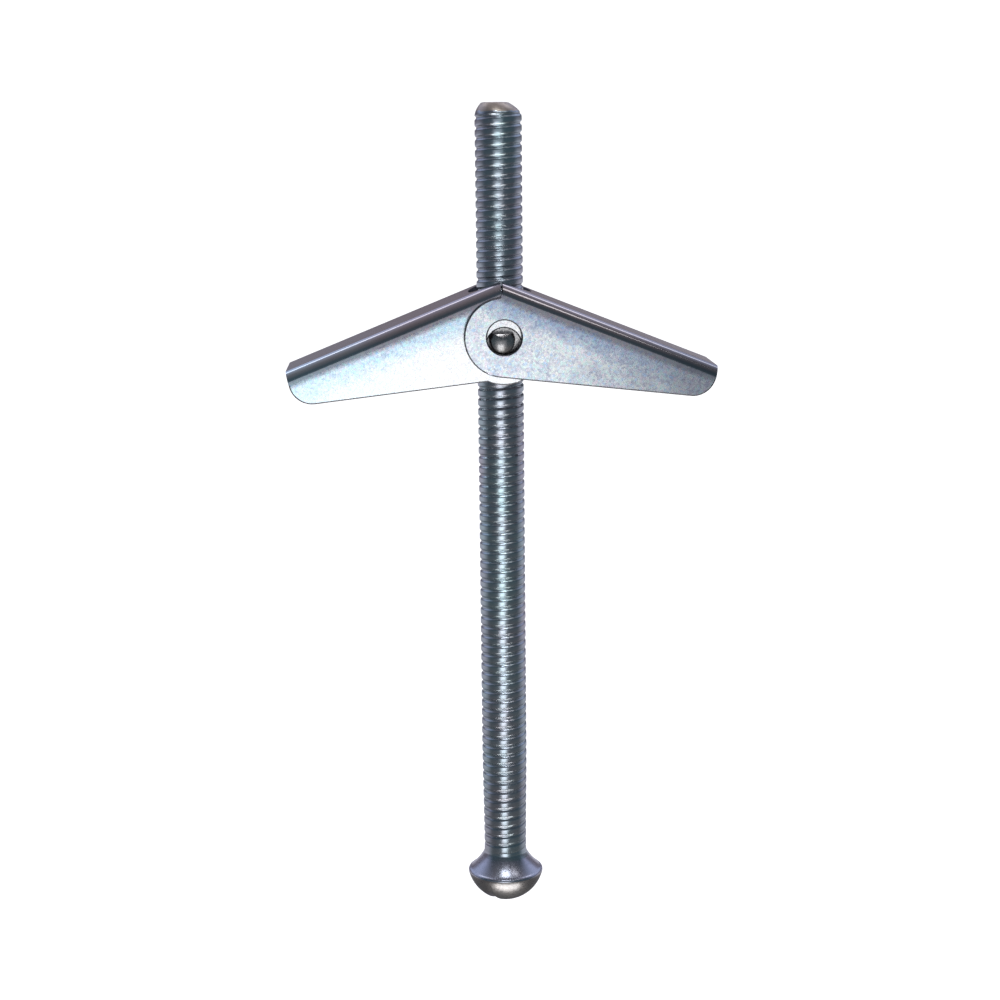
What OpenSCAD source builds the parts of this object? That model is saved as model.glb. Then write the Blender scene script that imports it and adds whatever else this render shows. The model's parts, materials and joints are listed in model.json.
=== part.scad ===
// Spring toggle bolt: a wall anchor for hollow walls and ceilings.
// A slotted machine screw runs through a trunnion nut that carries two sprung folding wings.
// Origin: centre of the head's bearing face, on the screw's axis. +Z runs towards the screw's tip,
// +X along the right wing. The wings are drawn open, which is how their spring holds them.

/* [Screw] */
// Thread crest diameter
major_d = 6.0; // [5.6:0.1:6.3]
// Length from the head's bearing face to the tip
screw_length = 102.1; // [90:0.1:127]
// Length of the cone between the head and the first thread
neck_length = 2.4; // [2.1:0.1:3]
// Diameter of the cone where it meets the head's bearing face
neck_base_d = 8.4; // [7:0.1:8.6]
// Diameter of the cone where it meets the thread
neck_top_d = 5.7; // [5:0.1:5.9]
// Length of the tip's chamfer, at 45 degrees
tip_chamfer = 1.1; // [0.4:0.1:1.2]
// Diameter of the round head
head_d = 10.1; // [9:0.1:11.5]
// Height of the round head
head_height = 4.5; // [3.2:0.1:4.6]
// Width of the driver slot
slot_width = 1.5; // [1.1:0.1:1.8]
// Depth of the driver slot below the top of the dome
slot_depth = 2.1; // [1.5:0.1:2.6]
// Turn of the driver slot about the screw's axis, from +X
slot_turn = 50; // [0:5:180]

/* [Nut] */
// Height of the wings' pivot above the head's bearing face, at rest
pivot_height = 72.4; // [50:0.1:85]
// Radius of the nut's barrel
barrel_r = 4.6; // [4.4:0.1:4.8]
// Half the length of the nut's barrel
barrel_half = 3.7; // [3.5:0.1:4]
// Radius of the stubs that the wings turn on
stub_r = 1.55; // [1.3:0.05:1.55]
// Height of the stubs' flat above their axis
stub_flat = 0.95; // [0.8:0.05:1.2]
// Running clearance between the tapped hole and the thread crests
thread_clearance = 0.03; // [0.02:0.01:0.08]

/* [Wings] */
// Thickness of the sheet steel
sheet = 1.0; // [0.8:0.05:1.1]
// Distance from the pivot to a wing's far end
wing_reach = 26.9; // [22:0.1:30]
// Distance from the pivot up to a web's outer face
web_height = 6.9; // [6.6:0.1:7.2]
// Slope of a flange's lower edge towards the web
edge_slope = 15.3; // [10:0.1:18]
// Radius of the ears around the pivot holes
ear_r = 5.1; // [4.8:0.05:5.2]
// Radius of the pivot holes, which are loose on the stubs
hole_r = 2.18; // [2.1:0.01:2.3]
// Height of the outer flange's hole above the pivot, and of the inner one's below it
hole_offset = 0.58; // [0.3:0.01:0.58]
// How much deeper the inner flange is than the outer one
inner_extra = 0.4; // [0:0.1:0.6]
// Outer radius of the bends between web and flanges
bend_r = 1.6; // [1.1:0.1:1.8]
// Radius of the lower corner at a flange's far end
corner_r = 3.0; // [1:0.1:3.2]
// Gap between the webs' back ends, which butt against each other to stop the wings
web_gap = 0.2; // [0.1:0.05:0.8]
// Radius of the corners of the webs' notch, which clears the screw
notch_r = 3.3; // [3.2:0.05:3.5]
// Distance from the pivot to the notch's end
notch_bottom = 1.6; // [1.4:0.05:2]
// Angle of an open wing below the horizontal
droop = 21.8; // [20:0.1:25]
// Gap between nested flanges
flange_gap = 0.12; // [0.1:0.01:0.2]
// Gap between the barrel and the nearest flange
side_play = 0.15; // [0.1:0.01:0.3]

/* [Spring] */
// Wire diameter
wire_d = 0.5; // [0.4:0.05:0.55]
// Mean radius of the coil
coil_r = 2.1; // [2.05:0.05:2.3]
// Full turns of the coil
coil_turns = 2; // [1:1:2]
// Where each leg's end rests under its web, out from the pivot
leg_reach = 12.5; // [10:0.5:15]

/* [Hidden] */
$fn = 64;
eps = 0.01;
coil_room = (coil_turns + 1.3) * wire_d;
inner_width = 2 * barrel_half + 2 * side_play + coil_room + sheet + flange_gap;
front_face = -(barrel_half + side_play + 2 * sheet + flange_gap);
wing_width = inner_width + 2 * sheet;
web_under = web_height - sheet;
stub_front = -front_face - 0.15;
stub_back = -front_face + coil_room - 0.15;
head_r = head_d / 2;
dome_r = (head_r * head_r + head_height * head_height) / (2 * head_height);
steel_blue = [0.42, 0.47, 0.52];
steel_dark = [0.40, 0.39, 0.42];
zinc_bright = [0.72, 0.77, 0.84];
zinc_mid = [0.62, 0.67, 0.75];
wire_grey = [0.55, 0.55, 0.57];

// Points of an arc about c, from angle a0 to a1
function arc(c, r, a0, a1, n = 8) =
    [for (i = [0:n]) let (a = a0 + (a1 - a0) * i / n) c + r * [cos(a), sin(a)]];

// Points [u, v] of a flange seen from the side: u runs along the web, v out through it
function edge_v(u) = hole_offset - ear_r / cos(edge_slope) + u * tan(edge_slope);
function web_back(v) = v * tan(droop) - web_gap / 2 / cos(droop);
function corner_centre() =
    let (u = wing_reach - corner_r)
    [u, edge_v(u) + corner_r / cos(edge_slope)];
function flange_outline(extra) = concat(
    [[-web_back(web_under), 0], [-web_back(web_under), web_under], [-web_back(web_height), web_height]],
    [[wing_reach, web_height]],
    arc(corner_centre() - [0, extra], corner_r, 0, edge_slope - 90),
    [[ear_r * sin(edge_slope), edge_v(ear_r * sin(edge_slope)) - extra]]
);

module machine_screw() {
    color(steel_blue)
    difference() {
        union() {
            intersection() {
                translate([0, 0, dome_r - head_height])
                sphere(r = dome_r);
                translate([0, 0, -head_height - 1])
                cylinder(h = head_height + 1, r = head_r + 1);
            }
            cylinder(h = neck_length + eps, d1 = neck_base_d, d2 = neck_top_d);
            translate([0, 0, neck_length])
            cylinder(h = screw_length - tip_chamfer - neck_length, d = major_d);
            translate([0, 0, screw_length - tip_chamfer])
            cylinder(h = tip_chamfer, d1 = major_d, d2 = major_d - 2 * tip_chamfer);
        }
        rotate([0, 0, slot_turn])
        translate([-head_d, -slot_width / 2, -head_height - 1])
        cube([2 * head_d, slot_width, slot_depth + 1]);
    }
}

// A stub along +Y with a flat towards the screw's tip
module stub(length) {
    intersection() {
        rotate([-90, 0, 0])
        cylinder(h = length, r = stub_r);
        translate([-2 * stub_r, 0, -2 * stub_r])
        cube([4 * stub_r, length, 2 * stub_r + stub_flat]);
    }
}

module trunnion_nut() {
    color(steel_dark)
    translate([0, 0, pivot_height])
    difference() {
        union() {
            translate([0, -barrel_half, 0])
            rotate([-90, 0, 0])
            cylinder(h = 2 * barrel_half, r = barrel_r);
            stub(stub_back);
            mirror([0, 1, 0])
            stub(stub_front);
        }
        translate([0, 0, -barrel_r - 1])
        cylinder(h = 2 * barrel_r + 2, r = major_d / 2 + thread_clearance);
    }
}

// A bar along +X whose section is a rectangle with its two upper edges rounded
module rounded_bar(width, height, r, length) {
    rotate([90, 0, 90])
    linear_extrude(length)
    union() {
        square([width, height - r]);
        translate([r, 0])
        square([width - 2 * r, height]);
        translate([r, height - r])
        circle(r);
        translate([width - r, height - r])
        circle(r);
    }
}

// One flange's side view, cut from the solid between y0 and y1
module flange_slab(hole_v, extra, y0, y1) {
    translate([0, y1, 0])
    rotate([90, 0, 0])
    linear_extrude(y1 - y0)
    difference() {
        union() {
            polygon(flange_outline(extra));
            translate([0, hole_v])
            circle(ear_r);
        }
        translate([0, hole_v])
        circle(hole_r);
    }
}

// The opening in a web's back end: wide enough for the screw on either side of the spring's coil
module notch() {
    back = notch_bottom - notch_r;
    translate([back, 0])
    square([notch_r, coil_room]);
    translate([back - 2 * notch_r, -notch_r])
    square([2 * notch_r, 2 * notch_r + coil_room]);
    for (y = [0, coil_room])
    translate([back, y])
    circle(notch_r);
}

// A stamped channel wing, lying along +X with its web on top and its pivot at the origin
module wing() {
    low = -2 * ear_r;
    start = -2 * ear_r;
    length = wing_reach - start + eps;
    difference() {
        intersection() {
            translate([start, front_face, low])
            rounded_bar(wing_width, web_height - low, bend_r, length);
            union() {
                flange_slab(hole_offset, 0, front_face - 1, 0);
                flange_slab(-hole_offset, inner_extra, 0, front_face + wing_width + 1);
            }
        }
        translate([start - 1, front_face + sheet, low - 1])
        rounded_bar(inner_width, web_under - low + 1, bend_r - sheet, length + 2);
        linear_extrude(2 * web_height)
        notch();
    }
}

module right_wing() {
    color(zinc_mid)
    translate([0, 0, pivot_height])
    rotate([0, droop, 0])
    wing();
}

module left_wing() {
    color(zinc_bright)
    translate([0, coil_room, pivot_height])
    rotate([0, 0, 180])
    rotate([0, droop, 0])
    wing();
}

// Centreline of the spring's wire, about the pivot: left leg, coil, right leg
leg_v = web_under - wire_d / 2 - 0.05;
leg_angle = atan2(leg_v, leg_reach) - asin(coil_r / norm([leg_reach, leg_v]));
leg_start = 90 + leg_angle - droop;
leg_length = sqrt(leg_reach * leg_reach + leg_v * leg_v - coil_r * coil_r);
leg_way = [cos(leg_angle - droop), sin(leg_angle - droop)];
coil_sweep = 360 * coil_turns + 180 - 2 * leg_start;
coil_y0 = barrel_half + wire_d / 2 + 0.12;
coil_y1 = coil_y0 + (coil_turns + 0.15) * (wire_d + 0.02);
coil_steps = 18 * coil_turns;

function leg_point(s, side, y) =
    let (p = coil_r * [cos(leg_start), sin(leg_start)] + s * leg_way)
    [side * p[0], y, p[1]];
function coil_point(i) =
    let (a = leg_start + coil_sweep * i / coil_steps)
    [coil_r * cos(a), coil_y0 + (coil_y1 - coil_y0) * i / coil_steps, coil_r * sin(a)];
function wire_line() = concat(
    [for (s = [1, 0.5]) leg_point(s * leg_length, 1, coil_y0)],
    [for (i = [0:coil_steps]) coil_point(i)],
    [for (s = [0.5, 1]) leg_point(s * leg_length, -1, coil_y1)]
);

// A closed tube of n sides along the points of a line
module tube(line, r, n = 8) {
    last = len(line) - 1;
    up = [0, 1, 0];
    way = [for (i = [0:last]) line[min(i + 1, last)] - line[max(i - 1, 0)]];
    side = [for (w = way) cross(up, w) / norm(cross(up, w))];
    lift = [for (i = [0:last]) cross(way[i], side[i]) / norm(cross(way[i], side[i]))];
    points = [
        for (i = [0:last], k = [0:n - 1])
        line[i] + r * (cos(360 * k / n) * side[i] + sin(360 * k / n) * lift[i])
    ];
    walls = [
        for (i = [0:last - 1], k = [0:n - 1])
        [i * n + k, i * n + (k + 1) % n, (i + 1) * n + (k + 1) % n, (i + 1) * n + k]
    ];
    caps = [
        [for (k = [n - 1:-1:0]) k],
        [for (k = [0:n - 1]) last * n + k]
    ];
    polyhedron(points, concat(walls, caps));
}

module torsion_spring() {
    color(wire_grey)
    translate([0, 0, pivot_height])
    tube(wire_line(), wire_d / 2);
}

machine_screw();
trunnion_nut();
left_wing();
right_wing();
torsion_spring();
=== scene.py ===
"""A spring toggle bolt in a plain studio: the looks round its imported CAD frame."""

import json
import math

import bmesh
import bpy
from mathutils import Matrix, Vector


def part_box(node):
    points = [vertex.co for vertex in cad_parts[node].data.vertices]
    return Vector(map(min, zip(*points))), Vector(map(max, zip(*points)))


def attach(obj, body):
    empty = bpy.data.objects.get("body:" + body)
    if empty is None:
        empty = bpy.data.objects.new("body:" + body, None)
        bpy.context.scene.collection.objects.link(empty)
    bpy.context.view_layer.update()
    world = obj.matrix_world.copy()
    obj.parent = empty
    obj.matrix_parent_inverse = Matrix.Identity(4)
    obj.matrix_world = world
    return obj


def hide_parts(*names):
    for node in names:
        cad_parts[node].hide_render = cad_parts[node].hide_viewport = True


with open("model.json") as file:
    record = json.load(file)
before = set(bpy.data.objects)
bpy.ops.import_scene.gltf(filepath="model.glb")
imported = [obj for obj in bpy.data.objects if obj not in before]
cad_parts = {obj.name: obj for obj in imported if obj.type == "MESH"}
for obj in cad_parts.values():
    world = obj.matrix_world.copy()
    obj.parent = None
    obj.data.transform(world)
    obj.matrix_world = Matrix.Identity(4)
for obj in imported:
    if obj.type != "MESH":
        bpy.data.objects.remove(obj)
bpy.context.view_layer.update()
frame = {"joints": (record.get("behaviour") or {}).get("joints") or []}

# Lengths are in millimetres. MM turns them into the metres of a finished piece.
MM = 0.001
PAST = 1  # how far a cutting tool runs past what it cuts
OVERLAP = 0.5  # how far shapes that are joined run into each other

# Screw, along +Z from its head's bearing face at 0
PITCH = 1.27
CREST_R = 3.0
THREAD_DEPTH = 0.20
NECK_R = 2.85
NECK_BASE_R = 4.6
NECK_LENGTH = 2.4
HEAD_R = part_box("machine_screw")[1].x / MM
HEAD_HEIGHT = -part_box("machine_screw")[0].z / MM
SCREW_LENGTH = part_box("machine_screw")[1].z / MM
TIP_R = 1.65
SLOT_WIDTH = 1.5
SLOT_DEPTH = 2.1
SLOT_TURN = math.radians(50)

# Nut: a barrel and two stubs along Y, with the pivot, in metres, where the wings' joints are
PIVOT = Vector(next(j for j in frame["joints"] if j["name"] == "right_wing_fold")["pos_m"])
BARREL_R = 4.6
BARREL_HALF = 3.7
STUB_R = 1.55
STUB_FLAT = 0.95
STUB_CROWN_R = 3.2
STUB_CROWN_LOW = 0.4
BORE_R = CREST_R + 0.03
STUB_FRONT = 5.82  # each stub's end, from the pivot
STUB_BACK = 7.47

# Wings, each a channel along +X from its pivot, web on top, before it is placed
SHEET = 1.0
WING_REACH = 26.9
WEB_HEIGHT = 6.9
EDGE_SLOPE = math.radians(15.3)
EAR_R = 5.1
HOLE_R = 2.18
HOLE_OFFSET = 0.58  # a hole's centre lies above the pivot in the outer flange, below it in the inner one
INNER_EXTRA = 0.4  # how much further down the inner flange reaches
BEND_R = 1.6
TAIL_R = 7.0  # the slighter bend that eases each main bend into its flange
TAIL_ANGLE = 8
CORNER_R = 3.0
END_SLOPE = math.radians(8)
WEB_GAP = 0.2
NOTCH_R = 3.3
NOTCH_BOTTOM = 1.6
FRONT_FACE = -5.97
BACK_FACE = 6.5
FILLET_R = 0.5
EDGE_R = 0.18
DROOP = math.radians(21.8)

# Spring
WIRE_R = 0.25
COIL_R = 2.1
COIL_TURNS = 2
LEG_REACH = 12.5
COIL_ROOM = (COIL_TURNS + 1.3) * 2 * WIRE_R  # how far back the left wing sits, for the coil
NOTCH_SPAN = COIL_ROOM - 0.12  # keeps the notch in each web clear of the bends


# ---------------------------------------------------------------- mesh helpers

NEARLY_FLAT = math.radians(0.5)
WIRE_SIDES = 14
EASE_LENGTH = 0.3  # of a wire's end, in wire radii
EASE_R = 0.7


def arc(centre, radius, start, end, steps):
    """Points of an arc, angles in degrees."""
    angles = [math.radians(start + (end - start) * i / steps) for i in range(steps + 1)]
    return [Vector(centre) + radius * Vector((math.cos(a), math.sin(a))) for a in angles]


def full_turn(sides):
    """Angles evenly spaced round a turn."""
    return [2 * math.pi * k / sides for k in range(sides)]


def join_rings(bm, rings):
    """Faces between each ring of points and the next."""
    for one, two in zip(rings, rings[1:]):
        for k in range(len(one)):
            n = (k + 1) % len(one)
            bm.faces.new([one[k], one[n], two[n], two[k]])


def new_object(name, data):
    obj = bpy.data.objects.new(name, data)
    bpy.context.scene.collection.objects.link(obj)
    return obj


def object_from(name, bm):
    """An object made from a bmesh, which is freed."""
    bmesh.ops.recalc_face_normals(bm, faces=bm.faces)
    mesh = bpy.data.meshes.new(name)
    bm.to_mesh(mesh)
    bm.free()
    return new_object(name, mesh)


def prism(outline, low, high, place):
    """A closed prism over an outline, where place(a, b, h) gives a corner's point."""
    bm = bmesh.new()
    bottom = [bm.verts.new(place(p[0], p[1], low)) for p in outline]
    top = [bm.verts.new(place(p[0], p[1], high)) for p in outline]
    bm.faces.new(bottom)
    bm.faces.new(top)
    join_rings(bm, [bottom, top])
    return object_from("tool", bm)


def along_x(a, b, h):
    return Vector((h, a, b))


def along_y(a, b, h):
    return Vector((a, h, b))


def along_z(a, b, h):
    return Vector((a, b, h))


def rod(centre, radius, low, high, place, sides=64):
    return prism(arc(centre, radius, 0, 360, sides)[:-1], low, high, place)


def box(low, high):
    x0, y0, z0 = low
    x1, y1, z1 = high
    return prism([(x0, y0), (x1, y0), (x1, y1), (x0, y1)], z0, z1, along_z)


def baked(obj):
    """Applies the modifiers of an object to a new mesh."""
    depsgraph = bpy.context.evaluated_depsgraph_get()
    mesh = bpy.data.meshes.new_from_object(obj.evaluated_get(depsgraph))
    old = obj.data
    obj.modifiers.clear()
    obj.data = mesh
    bpy.data.meshes.remove(old)


def boolean(obj, tool, operation):
    """Cuts or joins an object with a tool, which is removed."""
    modifier = obj.modifiers.new("cut", "BOOLEAN")
    modifier.operation = operation
    modifier.solver = "EXACT"
    modifier.object = tool
    baked(obj)
    mesh = tool.data
    bpy.data.objects.remove(tool)
    bpy.data.meshes.remove(mesh)
    return obj


def tidy(obj, merge=0.002):
    """Merges doubled points and joins coplanar faces, so that bevels run clean."""
    bm = bmesh.new()
    bm.from_mesh(obj.data)
    bmesh.ops.remove_doubles(bm, verts=bm.verts, dist=merge)
    bmesh.ops.dissolve_limit(bm, angle_limit=NEARLY_FLAT, verts=bm.verts, edges=bm.edges)
    bm.to_mesh(obj.data)
    bm.free()


def soften(obj, width, angle):
    """Rounds the edges that are sharper than an angle in degrees."""
    modifier = obj.modifiers.new("soften", "BEVEL")
    modifier.width = width
    modifier.segments = 2
    modifier.limit_method = "ANGLE"
    modifier.angle_limit = math.radians(angle)
    baked(obj)


def smooth(obj, angle=30):
    """Smooth shading that keeps flat faces flat."""
    for polygon in obj.data.polygons:
        polygon.use_smooth = True
    obj.data.set_sharp_from_angle(angle=math.radians(angle))
    modifier = obj.modifiers.new("weights", "WEIGHTED_NORMAL")
    modifier.keep_sharp = True


def finish_piece(obj, name, materials, body, slot, *nodes):
    """Names a piece, gives it its materials and ties it to the frame."""
    obj.name = name
    obj.data.name = name
    for material in materials:
        obj.data.materials.append(material)
    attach(obj, body)
    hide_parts(*nodes)


def sweep(line, radius):
    """A closed wire along a line of points, eased to a smaller radius at both ends."""
    count = len(line)
    ways = [(line[min(i + 1, count - 1)] - line[max(i - 1, 0)]).normalized() for i in range(count)]
    ease = EASE_LENGTH * radius
    stations = [(line[0], ways[0], EASE_R * radius), (line[0] + ease * ways[0], ways[0], radius)]
    stations += [(line[i], ways[i], radius) for i in range(1, count - 1)]
    stations += [(line[-1] - ease * ways[-1], ways[-1], radius), (line[-1], ways[-1], EASE_R * radius)]
    up = Vector((0, 1, 0))
    bm = bmesh.new()
    rings = []
    for centre, way, r in stations:
        side = up.cross(way).normalized()
        lift = way.cross(side).normalized()
        ring = [centre + r * (math.cos(t) * side + math.sin(t) * lift) for t in full_turn(WIRE_SIDES)]
        rings.append([bm.verts.new(point) for point in ring])
    join_rings(bm, rings)
    bm.faces.new(rings[0])
    bm.faces.new(rings[-1])
    return object_from("wire", bm)


# ------------------------------------------------------------------- materials

GRAIN = 0.29  # width of a zinc crystal
GRAIN_TILT = 0.01  # how far a crystal's normal leans
# Tints of the crystals, each picked by the crystal's random number
GRAIN_TINTS = [
    (0.00, (0.60, 0.78, 1.00)),
    (0.25, (1.00, 0.98, 0.92)),
    (0.45, (0.74, 1.00, 0.96)),
    (0.60, (1.00, 0.87, 0.95)),
    (0.80, (0.62, 0.66, 0.76)),
    (1.00, (1.00, 1.00, 1.00)),
]
# Zones of a wing's plate, in metres out from the pivot towards the web
TINT_ZONE = (1.0 * MM, 4.5 * MM)
BLUE_ZONE = (3.4 * MM, 5.4 * MM)
POLISH_ZONE = (4.9 * MM, 5.6 * MM)
PLAIN_ZONE = (5.0 * MM, 5.8 * MM)
BEND_ZONE = (5.6 * MM, 6.4 * MM)
# Where the far end's painted light and shade set in, in metres along the wing: painted shade on the right
# wing, a painted highlight on the left
PAINTED_FAR_END_ZONE = (18 * MM, 33 * MM)
# The range that most of a noise's values are in
NOISE_RANGE = (0.3, 0.7)


def colour_ramp(tree, source, stops):
    """Colours from a value, through stops of a place from 0 to 1 and a colour."""
    node = tree.nodes.new("ShaderNodeValToRGB")
    elements = node.color_ramp.elements
    while len(elements) < len(stops):
        elements.new(0.5)
    for element, (place, colour) in zip(elements, stops):
        element.position = place
        element.color = (*colour, 1)
    tree.links.new(source, node.inputs["Fac"])
    return node.outputs["Color"]


class Nodes:
    """Short calls for building a node material."""

    def __init__(self, name):
        self.material = bpy.data.materials.new(name)
        self.material.use_nodes = True
        self.tree = self.material.node_tree
        self.shader = self.tree.nodes["Principled BSDF"]
        self.place = self.add("ShaderNodeTexCoord").outputs["Object"]

    def add(self, kind, **settings):
        node = self.tree.nodes.new(kind)
        for key, value in settings.items():
            setattr(node, key, value)
        return node

    def link(self, source, target):
        self.tree.links.new(source, target)

    def mapped(self, scale, stretch):
        """The place on the object, in units of scale millimetres."""
        node = self.add("ShaderNodeMapping")
        node.inputs["Scale"].default_value = [s / (scale * MM) for s in stretch]
        self.link(self.place, node.inputs["Vector"])
        return node.outputs["Vector"]

    def noise(self, scale, detail=3.0, rough=0.6, stretch=(1, 1, 1)):
        """Noise whose grains are scale millimetres wide."""
        node = self.add("ShaderNodeTexNoise")
        node.inputs["Scale"].default_value = 1.0
        node.inputs["Detail"].default_value = detail
        node.inputs["Roughness"].default_value = rough
        self.link(self.mapped(scale, stretch), node.inputs["Vector"])
        return node.outputs["Fac"]

    def cells(self, scale):
        """Crystal grains, scale millimetres wide: one random colour each."""
        node = self.add("ShaderNodeTexVoronoi")
        node.inputs["Scale"].default_value = 1.0
        self.link(self.mapped(scale, (1, 1, 1)), node.inputs["Vector"])
        return node.outputs["Color"]

    def red(self, colour):
        node = self.add("ShaderNodeSeparateColor")
        self.link(colour, node.inputs["Color"])
        return node.outputs["Red"]

    def ramp(self, source, stops):
        return colour_ramp(self.tree, source, stops)

    def mix(self, amount, one, two, blend="MIX"):
        """Two colours mixed: inputs 6 and 7 and output 2 are the node's colour sockets."""
        node = self.add("ShaderNodeMix", data_type="RGBA", blend_type=blend)
        sockets = (node.inputs["Factor"], node.inputs[6], node.inputs[7])
        for socket, value in zip(sockets, (amount, one, two)):
            if isinstance(value, tuple):
                socket.default_value = (*value, 1)
            else:
                self.link(value, socket)
        return node.outputs[2]

    def scaled(self, source, low, high, start, end):
        """low where the source is start, high where it is end, and even in between."""
        node = self.add("ShaderNodeMapRange")
        node.inputs["From Min"].default_value = start
        node.inputs["From Max"].default_value = end
        node.inputs["To Min"].default_value = low
        node.inputs["To Max"].default_value = high
        self.link(source, node.inputs["Value"])
        return node.outputs["Result"]

    def product(self, one, two):
        node = self.add("ShaderNodeMath", operation="MULTIPLY")
        self.link(one, node.inputs[0])
        self.link(two, node.inputs[1])
        return node.outputs["Value"]

    def ragged(self, distance, noise, width):
        """A distance whose contours wander over a width in millimetres."""
        node = self.add("ShaderNodeMath", operation="MULTIPLY_ADD")
        self.link(noise, node.inputs[0])
        node.inputs[1].default_value = width * MM
        self.link(distance, node.inputs[2])
        return node.outputs["Value"]

    def bump(self, source, height, before=None):
        """Bump of a height in millimetres, on top of the normal before."""
        node = self.add("ShaderNodeBump")
        node.inputs["Strength"].default_value = 1.0
        node.inputs["Distance"].default_value = height * MM
        self.link(source, node.inputs["Height"])
        if before is not None:
            self.link(before, node.inputs["Normal"])
        return node.outputs["Normal"]

    def distance_along(self, way, origin):
        """Distance in metres from an origin along a direction."""
        shift = self.add("ShaderNodeVectorMath", operation="SUBTRACT")
        self.link(self.place, shift.inputs[0])
        shift.inputs[1].default_value = origin
        dot = self.add("ShaderNodeVectorMath", operation="DOT_PRODUCT")
        self.link(shift.outputs["Vector"], dot.inputs[0])
        dot.inputs[1].default_value = way
        return dot.outputs["Value"]

    def tilted(self, source, amount):
        """The surface's normal, tilted at random by each grain's own colour."""
        centred = self.add("ShaderNodeVectorMath", operation="SUBTRACT")
        self.link(source, centred.inputs[0])
        centred.inputs[1].default_value = (0.5, 0.5, 0.5)
        tilt = self.add("ShaderNodeVectorMath", operation="MULTIPLY_ADD")
        self.link(centred.outputs["Vector"], tilt.inputs[0])
        tilt.inputs[1].default_value = (amount, amount, amount)
        self.link(self.add("ShaderNodeNewGeometry").outputs["Normal"], tilt.inputs[2])
        unit = self.add("ShaderNodeVectorMath", operation="NORMALIZE")
        self.link(tilt.outputs["Vector"], unit.inputs[0])
        return unit.outputs["Vector"]

    def set(self, colour, rough, normal=None):
        """The finished metal."""
        self.shader.inputs["Metallic"].default_value = 1.0
        self.link(colour, self.shader.inputs["Base Color"])
        self.link(rough, self.shader.inputs["Roughness"])
        if normal is not None:
            self.link(normal, self.shader.inputs["Normal"])
        return self.material


def zinc_plate(name, side, pale, blue, bend, painted_far_end, cloudy, grainy):
    """Bright zinc with a clear blue passivate: fine crystal grains, each a little tilted and tinted.

    side is 1 for the right wing and -1 for the left one. From the pivot out towards the web the
    colour goes from pale to blue, and to the bend's grey. Towards the far end a painted colour comes in:
    painted shade on the right wing, a painted highlight on the left.
    cloudy is the share of blue in the clouds, and grainy the share of the tints by the pivot.
    """
    n = Nodes(name)
    height = n.distance_along((side * math.sin(DROOP), 0, math.cos(DROOP)), PIVOT)
    reach = n.distance_along((side * math.cos(DROOP), 0, -math.sin(DROOP)), PIVOT)
    cloud = n.noise(1.6, 4.0)
    patches = n.noise(7.0, 3.0, 0.55)
    fine = n.noise(0.22)
    grain = n.cells(GRAIN)

    border = n.ragged(height, cloud, 2.4)
    base = n.mix(n.scaled(cloud, 0.0, cloudy, 0.42, 0.66), pale, blue)
    base = n.mix(n.scaled(border, 0.0, 0.9, *BLUE_ZONE), base, blue)
    base = n.mix(n.scaled(border, 0.0, 1.0, *BEND_ZONE), base, bend)
    # Painted light and shade at the far end: darker on the right wing, paler cyan on the left
    base = n.mix(n.scaled(n.ragged(reach, patches, 16), 0.0, 0.9, *PAINTED_FAR_END_ZONE), base, painted_far_end)
    plain = n.scaled(height, 1.0, 0.15, *PLAIN_ZONE)
    speckle = n.product(n.scaled(height, grainy, 0.85, *TINT_ZONE), plain)
    colour = n.mix(speckle, base, n.ramp(n.red(grain), GRAIN_TINTS), "MULTIPLY")

    polish = n.scaled(height, 1.0, 0.45, *POLISH_ZONE)
    rough = n.product(n.scaled(fine, 0.22, 0.34, *NOISE_RANGE), polish)
    normal = n.bump(fine, 0.0012, n.tilted(grain, GRAIN_TILT))
    return n.set(colour, rough, normal)


def shaded_edge_zinc():
    """The thin plate on the stamping's sheared edges, which are rougher; their dark colour is painted
    shade, where the narrow gaps and the rounded edges fall dark.
    """
    n = Nodes("shaded_edge_zinc")
    burr = n.noise(0.3, stretch=(1, 3, 1))
    colour = n.ramp(burr, [(0.35, (0.13, 0.13, 0.14)), (0.65, (0.22, 0.22, 0.24))])
    return n.set(colour, n.scaled(burr, 0.30, 0.50, *NOISE_RANGE))


def thread_steel():
    """Plated rolled thread: slate blue with teal and violet drifts along the screw."""
    n = Nodes("thread_steel")
    drift = n.noise(4.0, 3.0, 0.55, (1, 1, 0.5))
    slates = [(0.35, (0.50, 0.51, 0.58)), (0.50, (0.47, 0.54, 0.60)), (0.65, (0.45, 0.58, 0.62))]
    smear = n.noise(0.35, stretch=(1, 1, 2.5))
    colour = n.mix(n.scaled(smear, 0.0, 0.30, 0.45, 0.7), n.ramp(drift, slates), (0.64, 0.74, 0.80))
    return n.set(colour, n.scaled(smear, 0.23, 0.27, *NOISE_RANGE))


def clouded_metal(name, cloud_size, shades, grain_size, rough, bump, stretch=(1, 1, 1)):
    """Metal with soft clouds of colour, and a finer grain in its roughness and its surface."""
    n = Nodes(name)
    colour = n.ramp(n.noise(cloud_size, 4.0), shades)
    grain = n.noise(grain_size, stretch=stretch)
    return n.set(colour, n.scaled(grain, *rough, *NOISE_RANGE), n.bump(grain, bump))


def tip_reflection_steel():
    """The screw's end: its brownish grey is a painted reflection of the grey-brown that its chamfer
    mirrors.
    """
    shades = [(0.35, (0.52, 0.45, 0.38)), (0.65, (0.66, 0.58, 0.50))]
    return clouded_metal("tip_reflection_steel", 1.0, shades, 0.25, (0.30, 0.46), 0.004)


def dome_shade_steel():
    """The head's dome: warmer than the shank, and darker as painted shade, with fine forming scratches."""
    shades = [(0.35, (0.33, 0.33, 0.34)), (0.60, (0.43, 0.42, 0.42))]
    return clouded_metal("dome_shade_steel", 1.8, shades, 0.25, (0.22, 0.44), 0.004, (1, 1, 3))


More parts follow.
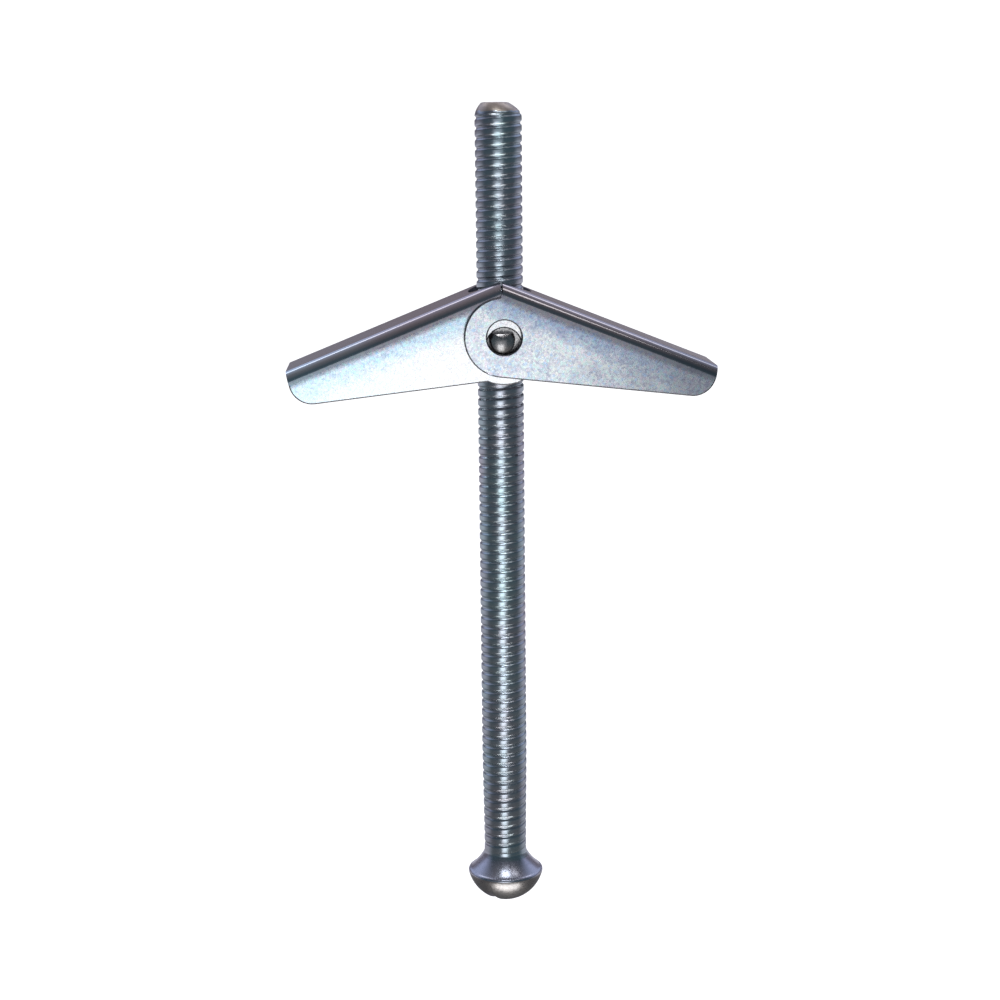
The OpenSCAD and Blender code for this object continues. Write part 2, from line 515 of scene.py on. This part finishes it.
def seat_reflection_steel():
    """The head's underside: its lavender blue is a painted reflection of the pale lavender surroundings
    behind.
    """
    shades = [(0.35, (0.52, 0.57, 0.66)), (0.65, (0.60, 0.62, 0.72))]
    return clouded_metal("seat_reflection_steel", 1.5, shades, 0.3, (0.18, 0.32), 0.003)


def nut_steel():
    """The nut: a duller finish than the wings, and darker, partly as painted shade for the stub deep in the
    wing's hole; a little warm.
    """
    shades = [(0.35, (0.42, 0.41, 0.41)), (0.65, (0.60, 0.58, 0.56))]
    return clouded_metal("nut_steel", 1.2, shades, 0.2, (0.18, 0.34), 0.006)


def wire_steel():
    """Drawn spring wire."""
    n = Nodes("wire_steel")
    drawn = n.noise(0.12)
    colour = n.ramp(drawn, [(0.35, (0.36, 0.36, 0.38)), (0.65, (0.55, 0.54, 0.52))])
    return n.set(colour, n.scaled(drawn, 0.22, 0.42, *NOISE_RANGE), n.bump(drawn, 0.006))


# ----------------------------------------------------------------------- screw

# From a crest to the root: the place, in pitches, and how deep the surface lies, in thread depths
HALF_THREAD = [
    (0.00, 0.00), (0.14, 0.01), (0.23, 0.04), (0.27, 0.11), (0.30, 0.22),
    (0.40, 0.82), (0.42, 0.93), (0.45, 1.00), (0.50, 1.00),
]
THREAD_PROFILE = HALF_THREAD + [(1 - place, depth) for place, depth in reversed(HALF_THREAD[1:-1])]
COLUMNS = 80
CREST_AT_FRONT = 50.3  # height of one crest on the screw's front, -Y
FRONT_TURN = 0.75  # the front, in turns from +X
FOOT_HEIGHT = 0.1  # of the neck, where it meets the seat
SEAT_RING = (NECK_BASE_R + 0.1, 0.02)  # radius and height, just outside the neck's foot
RIM_R = 0.4
DOME_END = -88.5  # the ring round the dome's centre, in degrees
TIP_CONE = 1.9
TIP_FLAT = 0.08
TIP_LEAN = 0.45
TIP_CAP = [(TIP_R - 0.12, SCREW_LENGTH - 0.02), (TIP_R - 0.4, SCREW_LENGTH)]  # rings, as SEAT_RING
RUN_OUT = 1.0
WORN_LENGTH = 16.0
WORN_DEPTH = 0.16
# Where the screw's materials change: the seat's painted reflection, the dome's painted shade and the tip's
# painted reflection
DOME_TOP = -0.3
SEAT_TOP = 1.9
SEAT_R = NECK_R + 0.2
TIP_START = SCREW_LENGTH - 1.1


def step_up(x):
    """A smooth step from 0 to 1."""
    x = min(max(x, 0.0), 1.0)
    return x * x * (3 - 2 * x)


def tip_share(z):
    """1 at the tip, down to 0 where the tip's cone meets the full thread."""
    return max(0.0, 1 - (SCREW_LENGTH - z) / TIP_CONE) ** 2


def thread_radius(z, depth):
    """The shank's radius at a height, for a share of the thread's depth."""
    worn = WORN_DEPTH * (1 - step_up((z - NECK_LENGTH) / WORN_LENGTH))
    crest = CREST_R - worn
    radius = crest - depth * (THREAD_DEPTH - worn / 2)
    start = step_up((z - NECK_LENGTH) / RUN_OUT)
    radius = NECK_R + (radius - NECK_R) * start
    return min(radius, CREST_R - (CREST_R - TIP_R) * tip_share(z))


def head_rings():
    """Radius and height of the rings from the neck down to the dome's centre."""
    rings = []
    steps = 12
    for i in range(1, steps + 1):
        share = i / steps
        flare = 0.6 * share + 0.4 * share ** 2
        height = FOOT_HEIGHT + (NECK_LENGTH - FOOT_HEIGHT) * (1 - share)
        rings.append((NECK_R + (NECK_BASE_R - NECK_R) * flare, height))
    rings.append(SEAT_RING)
    rim = arc((HEAD_R - RIM_R, -RIM_R), RIM_R, 90, -10, 6)
    rings += [(p.x, p.y) for p in rim[1:]]
    edge_r, edge_z = rings[-1]
    dome_r = (edge_r ** 2 + (HEAD_HEIGHT + edge_z) ** 2) / (2 * (HEAD_HEIGHT + edge_z))
    centre = dome_r - HEAD_HEIGHT
    start = math.degrees(math.asin((edge_z - centre) / dome_r))
    rings += [(p.x, p.y) for p in arc((0, centre), dome_r, start, DOME_END, 22)[1:]]
    return rings


def helical_grid(bm, point, turns, low, high, bottom, top):
    """The thread's faces, from the ring of points at its bottom to the one at its top."""
    rows = len(THREAD_PROFILE)
    start = CREST_AT_FRONT - PITCH * FRONT_TURN
    first = -math.ceil((start - low) / PITCH) - 2
    last = math.ceil((high - start) / PITCH) + 1
    known = {}

    def grid(row, column):
        """The point of a row, where a column past the last one is one turn up the helix."""
        if column == COLUMNS:
            row, column = row + rows, 0
        if (row, column) not in known:
            place, depth = THREAD_PROFILE[row % rows]
            z = start + PITCH * (row // rows + place + column / COLUMNS)
            if z <= low:
                known[row, column] = bottom[column]
            elif z >= high:
                known[row, column] = top[column]
            else:
                known[row, column] = point(thread_radius(z, depth), turns[column], z)
        return known[row, column]

    steps = ((0, 0), (0, 1), (1, 1), (1, 0))
    for row in range(first * rows, last * rows):
        for column in range(COLUMNS):
            corners = [grid(row + up, column + on) for up, on in steps]
            clean = [corner for k, corner in enumerate(corners) if corner is not corners[k - 1]]
            if len(set(clean)) > 2:
                bm.faces.new(clean)


def machine_screw():
    """One closed mesh: a helical grid for the thread, rings for the head and a cap at the tip."""
    bm = bmesh.new()
    turns = full_turn(COLUMNS)

    def point(radius, turn, z):
        return bm.verts.new((radius * math.cos(turn) - TIP_LEAN * tip_share(z), radius * math.sin(turn), z))

    def ring(radius, z):
        return [point(radius, t, z) for t in turns]

    low, high = NECK_LENGTH, SCREW_LENGTH - TIP_FLAT
    bottom = ring(thread_radius(low, 0), low)
    top = ring(thread_radius(high, 0), high)
    helical_grid(bm, point, turns, low, high, bottom, top)
    for edge, shape in ((top, TIP_CAP), (bottom, head_rings())):
        rings = [edge] + [ring(radius, z) for radius, z in shape]
        join_rings(bm, rings)
        bm.faces.new(rings[-1])
    screw = object_from("screw", bm)
    cut_slot(screw)
    screw.data.transform(Matrix.Scale(MM, 4))
    colour_screw(screw)
    return screw


def cut_slot(screw):
    """Cuts the driver's slot right across the dome."""
    low = (-HEAD_R - PAST, -SLOT_WIDTH / 2, -HEAD_HEIGHT - PAST)
    high = (HEAD_R + PAST, SLOT_WIDTH / 2, SLOT_DEPTH - HEAD_HEIGHT)
    slot = box(low, high)
    slot.data.transform(Matrix.Rotation(SLOT_TURN, 4, "Z"))
    boolean(screw, slot, "DIFFERENCE")


def colour_screw(screw):
    """Material 0 for the thread, 1 for the seat under the head (painted reflection), 2 for the dome
    (painted shade) and 3 for the tip (painted reflection).
    """
    for polygon in screw.data.polygons:
        centre = polygon.center / MM
        if centre.z < DOME_TOP:
            polygon.material_index = 2
        elif centre.z > TIP_START:
            polygon.material_index = 3
        elif centre.z < SEAT_TOP and math.hypot(centre.x, centre.y) > SEAT_R:
            polygon.material_index = 1


# ------------------------------------------------------------------------- nut

BARREL_EDGE = 0.35
BARREL_EDGE_MID = 0.12
STUB_ROOT = 0.15
STUB_EDGE = 0.32
STUB_END = 0.04
CROWN_EDGE = 0.12
CROWN_DEPTH = 0.6  # how far back from the stub's end the crown can reach
STUB_END_R = 0.9
NUT_BEVEL = 0.06
# Corners (y, z) of the wedge that chamfers the front stub, from the stub's end and its flat
CHAMFER_WEDGE = [(-0.76, -1.7), (0.96, 0.77), (-0.76, 1.05)]


def lathe_y(profile, sides=96):
    """A solid turned about Y from (y, radius) points; the first and last lie near the axis."""
    bm = bmesh.new()
    rings = []
    for y, radius in profile:
        ring = [(radius * math.cos(t), y, radius * math.sin(t)) for t in full_turn(sides)]
        rings.append([bm.verts.new(point) for point in ring])
    join_rings(bm, rings)
    bm.faces.new(rings[0])
    bm.faces.new(rings[-1])
    return object_from("turned", bm)


def nut_profile():
    """Points (y, radius) from the front stub's crowned end to the back stub's plain one."""
    crown = STUB_R - CROWN_EDGE
    dome = arc((0, 0), STUB_CROWN_R, 3, math.degrees(math.asin(crown / STUB_CROWN_R)), 8)
    profile = [(-STUB_FRONT + STUB_CROWN_R - p.x, p.y) for p in dome]
    return profile + [
        (-STUB_FRONT + CROWN_DEPTH + 0.02, STUB_R),
        (-BARREL_HALF - STUB_ROOT, STUB_R),
        (-BARREL_HALF, STUB_R + STUB_ROOT),
        (-BARREL_HALF, BARREL_R - BARREL_EDGE),
        (-BARREL_HALF + BARREL_EDGE_MID, BARREL_R - BARREL_EDGE_MID),
        (-BARREL_HALF + BARREL_EDGE, BARREL_R),
        (BARREL_HALF - BARREL_EDGE, BARREL_R),
        (BARREL_HALF - BARREL_EDGE_MID, BARREL_R - BARREL_EDGE_MID),
        (BARREL_HALF, BARREL_R - BARREL_EDGE),
        (BARREL_HALF, STUB_R),
        (STUB_BACK - STUB_EDGE, STUB_R),
        (STUB_BACK - STUB_END, STUB_R - STUB_EDGE),
        (STUB_BACK, STUB_END_R),
    ]


def lower_crown(nut):
    """Moves the crown's top from the stub's axis down by STUB_CROWN_LOW."""
    for vertex in nut.data.vertices:
        if vertex.co.y < -STUB_FRONT + CROWN_DEPTH and vertex.co.xz.length < STUB_R - 0.05:
            low = math.hypot(vertex.co.x, vertex.co.z + STUB_CROWN_LOW)
            vertex.co.y = -STUB_FRONT + STUB_CROWN_R - math.sqrt(STUB_CROWN_R ** 2 - low ** 2)


def trunnion_nut():
    """The barrel nut with its bore and its two stubs, each flat on top."""
    nut = lathe_y(nut_profile())
    lower_crown(nut)
    boolean(nut, rod((0, 0), BORE_R, -BARREL_R - PAST, BARREL_R + PAST, along_z, COLUMNS), "DIFFERENCE")
    aside = STUB_R + PAST
    for y0, y1 in ((-STUB_FRONT - PAST, -BARREL_HALF - 0.02), (BARREL_HALF + 0.02, STUB_BACK + PAST)):
        boolean(nut, box((-aside, y0, STUB_FLAT), (aside, y1, aside)), "DIFFERENCE")
    chamfer = [(y - STUB_FRONT, STUB_FLAT + z) for y, z in CHAMFER_WEDGE]
    boolean(nut, prism(chamfer, -aside, aside, along_x), "DIFFERENCE")
    tidy(nut)
    soften(nut, NUT_BEVEL, 40)
    nut.data.transform(Matrix.Translation(PIVOT) @ Matrix.Scale(MM, 4))
    return nut


# ----------------------------------------------------------------------- wings

BESIDE = 10  # past both flanges
# How far past a hole's edge the edges' painted shade reaches, as a dark ring round the hole
HOLE_RIM = 0.3
EDGE_LEAN = 0.02  # the least that a sheared edge's normal leans along the sheet
FACE_ON = 0.999  # the least that a flange's own normal has along Y


def bend_points(offset):
    """Half of the channel's section, from a flange's foot to the web, at a depth in the sheet."""
    turned = math.radians(TAIL_ANGLE)
    tail = (TAIL_R, WEB_HEIGHT - BEND_R - (TAIL_R - BEND_R) * math.sin(turned))
    bend = (TAIL_R - (TAIL_R - BEND_R) * math.cos(turned), WEB_HEIGHT - BEND_R)
    points = [Vector((offset, -2 * EAR_R))]
    points += arc(tail, TAIL_R - offset, 180, 180 - TAIL_ANGLE, 6)
    return points + arc(bend, BEND_R - offset, 180 - TAIL_ANGLE, 90, 14)[1:]


def channel():
    """The bent sheet: an upside-down U, running along X. Its bends ease into the flanges."""
    outside, inside = bend_points(0), bend_points(SHEET)
    section = [Vector((FRONT_FACE + p.x, p.y)) for p in outside]
    section += [Vector((BACK_FACE - p.x, p.y)) for p in reversed(outside)]
    section += [Vector((BACK_FACE - p.x, p.y)) for p in inside]
    section += [Vector((FRONT_FACE + p.x, p.y)) for p in reversed(inside)]
    return prism(section, -2 * EAR_R, WING_REACH + PAST, along_x)


def edge_v(u):
    """Height of the outer flange's lower edge at a place along the wing."""
    return HOLE_OFFSET - EAR_R / math.cos(EDGE_SLOPE) + u * math.tan(EDGE_SLOPE)


def web_back(v):
    """How far the sheet runs back past the pivot: up to the plane between the two wings."""
    return v * math.tan(DROOP) - WEB_GAP / 2 / math.cos(DROOP)


def corner_centre(extra):
    """Centre of the corner between the end, which slopes from the web's top, and the lower edge."""
    out = Vector((math.cos(END_SLOPE), math.sin(END_SLOPE)))
    down = Vector((math.sin(EDGE_SLOPE), -math.cos(EDGE_SLOPE)))
    end = out.dot(Vector((WING_REACH, WEB_HEIGHT))) - CORNER_R
    edge = down.dot(Vector((0, edge_v(0) - extra))) - CORNER_R
    cross = out.x * down.y - out.y * down.x
    return ((end * down.y - edge * out.y) / cross, (edge * out.x - end * down.x) / cross)


def ear_fillet(hole_v):
    """The corner between an ear and the web's back end, filled to a small radius."""
    back = web_back(WEB_HEIGHT - SHEET)
    across = -back - FILLET_R
    centre = (across, hole_v + math.sqrt((EAR_R + FILLET_R) ** 2 - across ** 2))
    low = math.degrees(math.atan2(hole_v - centre[1], -across))
    return arc(centre, FILLET_R, low, 0, 8) + [Vector((-back + OVERLAP, centre[1])), Vector((0, hole_v))]


def flange_side(hole_v, extra, y0, y1):
    """A flange's outline and the web above it, as a block."""
    start = EAR_R * math.sin(EDGE_SLOPE)
    under = WEB_HEIGHT - SHEET
    above = WEB_HEIGHT + PAST
    outline = [
        Vector((start, edge_v(start) - extra)),
        Vector((-web_back(under), 0)),
        Vector((-web_back(under), under)),
        Vector((-web_back(above), above)),
        Vector((WING_REACH - PAST * math.tan(END_SLOPE), above)),
    ]
    end, edge = math.degrees(END_SLOPE), math.degrees(EDGE_SLOPE) - 90
    outline += arc(corner_centre(extra), CORNER_R, end, edge, 16)
    block = prism(outline, y0, y1, along_y)
    boolean(block, rod((0, hole_v), EAR_R, y0, y1, along_y, 96), "UNION")
    return boolean(block, prism(ear_fillet(hole_v), y0, y1, along_y), "UNION")


def stadium():
    """Outline of the notch for the screw in a web's back end."""
    back = NOTCH_BOTTOM - NOTCH_R
    outline = arc((back, 0), NOTCH_R, -90, 0, 16)
    outline += arc((back, NOTCH_SPAN), NOTCH_R, 0, 90, 16)
    outline += [Vector((back - 2 * NOTCH_R, NOTCH_SPAN + NOTCH_R)), Vector((back - 2 * NOTCH_R, -NOTCH_R))]
    return outline


def wing():
    """A stamped wing lying along +X with its web on top and its pivot at the origin."""
    sides = flange_side(HOLE_OFFSET, 0, -BESIDE, 0)
    boolean(sides, flange_side(-HOLE_OFFSET, INNER_EXTRA, 0, BESIDE), "UNION")
    piece = boolean(channel(), sides, "INTERSECT")
    for hole_v, y0, y1 in ((HOLE_OFFSET, -BESIDE, 0), (-HOLE_OFFSET, 0, BESIDE)):
        boolean(piece, rod((0, hole_v), HOLE_R, y0, y1, along_y), "DIFFERENCE")
    boolean(piece, prism(stadium(), 0, 2 * WEB_HEIGHT, along_z), "DIFFERENCE")
    tidy(piece, 0.05)
    round_flanges(piece)
    colour_edges(piece)
    return piece


def round_flanges(piece):
    """Rounds the flanges' sheared outlines and holes, up to the bends."""
    bm = bmesh.new()
    bm.from_mesh(piece.data)
    top = WEB_HEIGHT - BEND_R
    edges = []
    for edge in bm.edges:
        sharp = edge.is_manifold and edge.calc_face_angle() > math.radians(30)
        if sharp and max(vertex.co.z for vertex in edge.verts) < top:
            edges.append(edge)
    rounding = {"offset": EDGE_R, "segments": 3, "profile": 0.5, "clamp_overlap": False}
    bmesh.ops.bevel(bm, geom=edges, affect="EDGES", **rounding)
    bm.to_mesh(piece.data)
    bm.free()


def colour_edges(piece):
    """Material 1, the dark painted shade, for the sheared edges and their rounding, and 0 for the sheet's
    faces.

    The sheet runs along X, so only an edge faces a little that way, or lies by a hole's rim.
    """
    for polygon in piece.data.polygons:
        u, y, v = polygon.center
        in_hole = math.hypot(u, v - HOLE_OFFSET if y < 0 else v + HOLE_OFFSET) < HOLE_R + HOLE_RIM
        sheared = abs(polygon.normal.x) > EDGE_LEAN or (in_hole and abs(polygon.normal.y) < FACE_ON)
        polygon.material_index = 1 if sheared else 0


def place_wings():
    """The right wing, and the left one, which is the same stamping turned half round."""
    pattern = wing()
    shift = Vector((0, COIL_ROOM, 0)) * MM
    droop = Matrix.Rotation(DROOP, 4, "Y") @ Matrix.Scale(MM, 4)
    left = new_object("left", pattern.data.copy())
    left.data.transform(Matrix.Translation(PIVOT + shift) @ Matrix.Rotation(math.pi, 4, "Z") @ droop)
    pattern.data.transform(Matrix.Translation(PIVOT) @ droop)
    return pattern, left


# ---------------------------------------------------------------------- spring

WIRE_GAP = 0.02
# A leg touches the coil at LEG_START and rises at LEG_ANGLE to LEG_V under its web
LEG_V = WEB_HEIGHT - SHEET - WIRE_R - 0.05
LEG_ANGLE = math.atan2(LEG_V, LEG_REACH) - math.asin(COIL_R / math.hypot(LEG_REACH, LEG_V))
LEG_START = math.pi / 2 + LEG_ANGLE - DROOP
LEG_LENGTH = math.sqrt(LEG_REACH ** 2 + LEG_V ** 2 - COIL_R ** 2)
COIL_SWEEP = 2 * math.pi * COIL_TURNS + math.pi - 2 * LEG_START
COIL_Y0 = BARREL_HALF + WIRE_R + 0.12
COIL_Y1 = COIL_Y0 + (COIL_TURNS + 0.15) * (2 * WIRE_R + WIRE_GAP)
LEG_WRAP = math.radians(76)
LEG_WIRE = 0.94  # so that a leg lies just inside the coil's wire


def coil_point(angle):
    """The middle of the coil's wire, which climbs along Y."""
    share = (angle - LEG_START) / COIL_SWEEP
    climb = COIL_Y0 + (COIL_Y1 - COIL_Y0) * share
    return Vector((COIL_R * math.cos(angle), climb, COIL_R * math.sin(angle)))


def spring_coil():
    """The coil between its two legs, which rides on the nut."""
    steps = 36 * COIL_TURNS
    return sweep([coil_point(LEG_START + COIL_SWEEP * i / steps) for i in range(steps + 1)], WIRE_R)


def spring_leg(side):
    """A leg with the piece of coil that it draws out when its wing folds."""
    line = [coil_point(LEG_START + LEG_WRAP * i / 10) for i in range(10, 0, -1)]
    start = coil_point(LEG_START)
    way = Vector((math.cos(LEG_ANGLE - DROOP), 0, math.sin(LEG_ANGLE - DROOP)))
    line += [start + way * LEG_LENGTH * i / 8 for i in range(9)]
    if side < 0:
        line = [Vector((-p.x, COIL_Y0 + COIL_Y1 - p.y, p.z)) for p in line]
    return sweep(line, WIRE_R * LEG_WIRE)


# ------------------------------------------------------------------- the model

# The nut's steel, darker partly as painted shade
shaded_nut_steel = nut_steel()
screw_materials = [thread_steel(), seat_reflection_steel(), dome_shade_steel(), tip_reflection_steel()]
# Colours of the pale sheet, the blue band below the bend, the bend and the far end. The left wing's are
# painted paler as painted light and the right wing's darker as painted shade, on the one zinc
right_shaded_colours = ((0.90, 0.91, 0.91), (0.42, 0.49, 0.63), (0.60, 0.56, 0.59), (0.40, 0.41, 0.45))
left_lit_colours = ((1.00, 0.98, 0.97), (0.62, 0.78, 0.88), (0.66, 0.61, 0.65), (0.72, 0.86, 0.93))
# One zinc on both wings: the left copy, paler and with fewer blue clouds and tints, is painted light; the
# right, darker copy is painted shade
right_shaded_zinc = zinc_plate("right_wing_zinc", 1, *right_shaded_colours, cloudy=0.35, grainy=0.85)
left_lit_zinc = zinc_plate("left_wing_zinc", -1, *left_lit_colours, cloudy=0.12, grainy=0.3)
# Dark plate on the sheared edges and round the holes: painted shade
painted_edge_shade = shaded_edge_zinc()
spring_steel = wire_steel()

screw_piece = machine_screw()
smooth(screw_piece, 50)
finish_piece(screw_piece, "threaded_screw", screw_materials, "screw", "screw_steel", "machine_screw")

nut_piece = trunnion_nut()
smooth(nut_piece)
finish_piece(nut_piece, "barrel_nut", [shaded_nut_steel], "nut", "nut_steel", "trunnion_nut")

right_piece, left_piece = place_wings()
for name, piece, zinc, body, slot in (
    ("right_channel_wing", right_piece, right_shaded_zinc, "right_wing", "right_wing_zinc"),
    ("left_channel_wing", left_piece, left_lit_zinc, "left_wing", "left_wing_zinc"),
):
    smooth(piece)
    finish_piece(piece, name, [zinc, painted_edge_shade], body, slot, body)

for name, piece, body in (
    ("spring_coil", spring_coil(), "nut"),
    ("spring_right_leg", spring_leg(1), "right_wing"),
    ("spring_left_leg", spring_leg(-1), "left_wing"),
):
    piece.data.transform(Matrix.Translation(PIVOT) @ Matrix.Scale(MM, 4))
    smooth(piece)
    finish_piece(piece, name, [spring_steel], body, "spring_wire", "torsion_spring")


# ---------------------------------------------------------------------- studio

CAMERA_TURN = math.radians(-2.99)
CAMERA_PAN = math.radians(0.06)
CAMERA_RANGE = 241.8
CAMERA_HEIGHT = 98.9
CAMERA_DOWN = math.radians(11.22)
CAMERA_ROLL = math.radians(-0.593)
SENSOR = 36.0
LENS = 67.55
NEAREST = 5
FLOOR_Z = -160
STAGE_R = 1600
STAGE_BEND = 500
WALL_TOP = 5000


def add_camera():
    camera = new_object("camera", bpy.data.cameras.new("camera"))
    camera.data.sensor_width = SENSOR
    camera.data.lens = LENS
    camera.data.clip_start = NEAREST * MM
    turn = CAMERA_TURN + CAMERA_PAN
    ahead = Vector((-math.sin(turn), math.cos(turn), -math.tan(CAMERA_DOWN))).normalized()
    right = ahead.cross(Vector((0, 0, 1))).normalized()
    up = right.cross(ahead)
    rolled_right = right * math.cos(CAMERA_ROLL) + up * math.sin(CAMERA_ROLL)
    rolled_up = up * math.cos(CAMERA_ROLL) - right * math.sin(CAMERA_ROLL)
    axes = Matrix((rolled_right, rolled_up, -ahead)).transposed()
    place = Vector((math.sin(CAMERA_TURN), -math.cos(CAMERA_TURN), 0)) * CAMERA_RANGE
    place.z = CAMERA_HEIGHT
    camera.matrix_world = Matrix.Translation(place * MM) @ axes.to_4x4()
    bpy.context.scene.camera = camera


def add_softbox(name, place, target, size, power, colour):
    data = bpy.data.lights.new(name, "AREA")
    data.shape = "RECTANGLE"
    data.size, data.size_y = size[0] * MM, size[1] * MM
    data.energy = power
    data.color = colour
    lamp = new_object(name, data)
    way = Vector(target) - Vector(place)
    lamp.rotation_euler = way.to_track_quat("-Z", "Y").to_euler()
    lamp.location = Vector(place) * MM
    lamp.visible_camera = False


# Colours of the surroundings, from straight down to straight up
AHEAD_SKY = [
    (0.00, (0.13, 0.12, 0.12)),
    (0.30, (0.12, 0.12, 0.125)),
    (0.50, (0.07, 0.10, 0.12)),
    (0.75, (0.05, 0.07, 0.085)),
    (0.90, (0.12, 0.115, 0.125)),
    (1.00, (0.24, 0.22, 0.24)),
]
BEHIND_SKY = [
    (0.00, (0.12, 0.12, 0.12)),
    (0.20, (0.14, 0.14, 0.15)),
    (0.31, (0.46, 0.44, 0.48)),
    (0.455, (0.66, 0.63, 0.70)),
    (0.50, (0.22, 0.20, 0.23)),
    (0.62, (0.15, 0.13, 0.155)),
    (0.69, (0.52, 0.55, 0.74)),
    (0.83, (0.42, 0.45, 0.60)),
    (1.00, (0.24, 0.22, 0.24)),
]
# How far the ahead sky gives way to the behind one, from front to back
SKY_SIDES = [(0.40, (0, 0, 0)), (0.67, (1, 1, 1))]


def add_world():
    """Surroundings that the metal reflects: dim at the front, paler and lavender at the back."""
    world = bpy.data.worlds.new("studio")
    bpy.context.scene.world = world
    world.use_nodes = True
    tree = world.node_tree
    place = tree.nodes.new("ShaderNodeTexCoord")
    split = tree.nodes.new("ShaderNodeSeparateXYZ")
    tree.links.new(place.outputs["Generated"], split.inputs["Vector"])

    def share(axis):
        """0 to 1 along an axis, from one end of the sky to the other."""
        node = tree.nodes.new("ShaderNodeMapRange")
        node.inputs["From Min"].default_value = -1
        tree.links.new(split.outputs[axis], node.inputs["Value"])
        return node.outputs["Result"]

    ahead = colour_ramp(tree, share("Z"), AHEAD_SKY)
    behind = colour_ramp(tree, share("Z"), BEHIND_SKY)
    side = colour_ramp(tree, share("Y"), SKY_SIDES)
    mix = tree.nodes.new("ShaderNodeMix")
    mix.data_type = "RGBA"
    tree.links.new(side, mix.inputs["Factor"])
    tree.links.new(ahead, mix.inputs[6])
    tree.links.new(behind, mix.inputs[7])
    tree.links.new(mix.outputs[2], tree.nodes["Background"].inputs["Color"])


def add_stage():
    """A plain pale floor that curves up into a pale wall all round."""
    profile = [(0.001, FLOOR_Z), (STAGE_R - STAGE_BEND, FLOOR_Z)]
    bend = arc((STAGE_R - STAGE_BEND, FLOOR_Z + STAGE_BEND), STAGE_BEND, -90, 0, 16)
    profile += [(p.x, p.y) for p in bend]
    profile.append((STAGE_R, WALL_TOP))
    turns = full_turn(64)
    bm = bmesh.new()
    rings = [[bm.verts.new((r * math.cos(t), r * math.sin(t), z)) for t in turns] for r, z in profile]
    join_rings(bm, rings)
    bm.faces.new(rings[0])
    floor = object_from("pale_floor", bm)
    floor.data.transform(Matrix.Scale(MM, 4))
    material = bpy.data.materials.new("pale_floor")
    material.use_nodes = True
    shader = material.node_tree.nodes["Principled BSDF"]
    shader.inputs["Base Color"].default_value = (0.9, 0.9, 0.9, 1)
    shader.inputs["Roughness"].default_value = 0.9
    shader.inputs["Emission Color"].default_value = (1, 1, 1, 1)
    shader.inputs["Emission Strength"].default_value = 1.0
    floor.data.materials.append(material)
    floor.visible_glossy = False
    floor.visible_diffuse = False
    floor.visible_shadow = False


# Name, place, target, width and height, power and colour
SOFTBOXES = [
    ("key", (-75, -700, -160), (0, 0, 50), (330, 340), 0.62, (0.95, 0.98, 1.0)),
    ("fill", (-60, -720, 20), (0, 0, 60), (600, 420), 0.26, (0.97, 0.94, 1.0)),
    ("top_front", (-20, -370, 800), (0, 0, 60), (300, 110), 0.60, (0.92, 0.95, 1.0)),
    ("top_back", (0, 430, 800), (0, 0, 60), (1100, 200), 0.75, (0.90, 0.91, 1.0)),
    ("top_right", (350, -320, 800), (0, 0, 60), (200, 130), 0.10, (1.0, 0.98, 0.98)),
    ("under", (10, -135, -280), (0, 0, 0), (300, 140), 0.46, (1.0, 0.97, 0.94)),
]

add_camera()
add_world()
add_stage()
bpy.context.scene.view_settings.view_transform = "Standard"
for softbox in SOFTBOXES:
    add_softbox(*softbox)
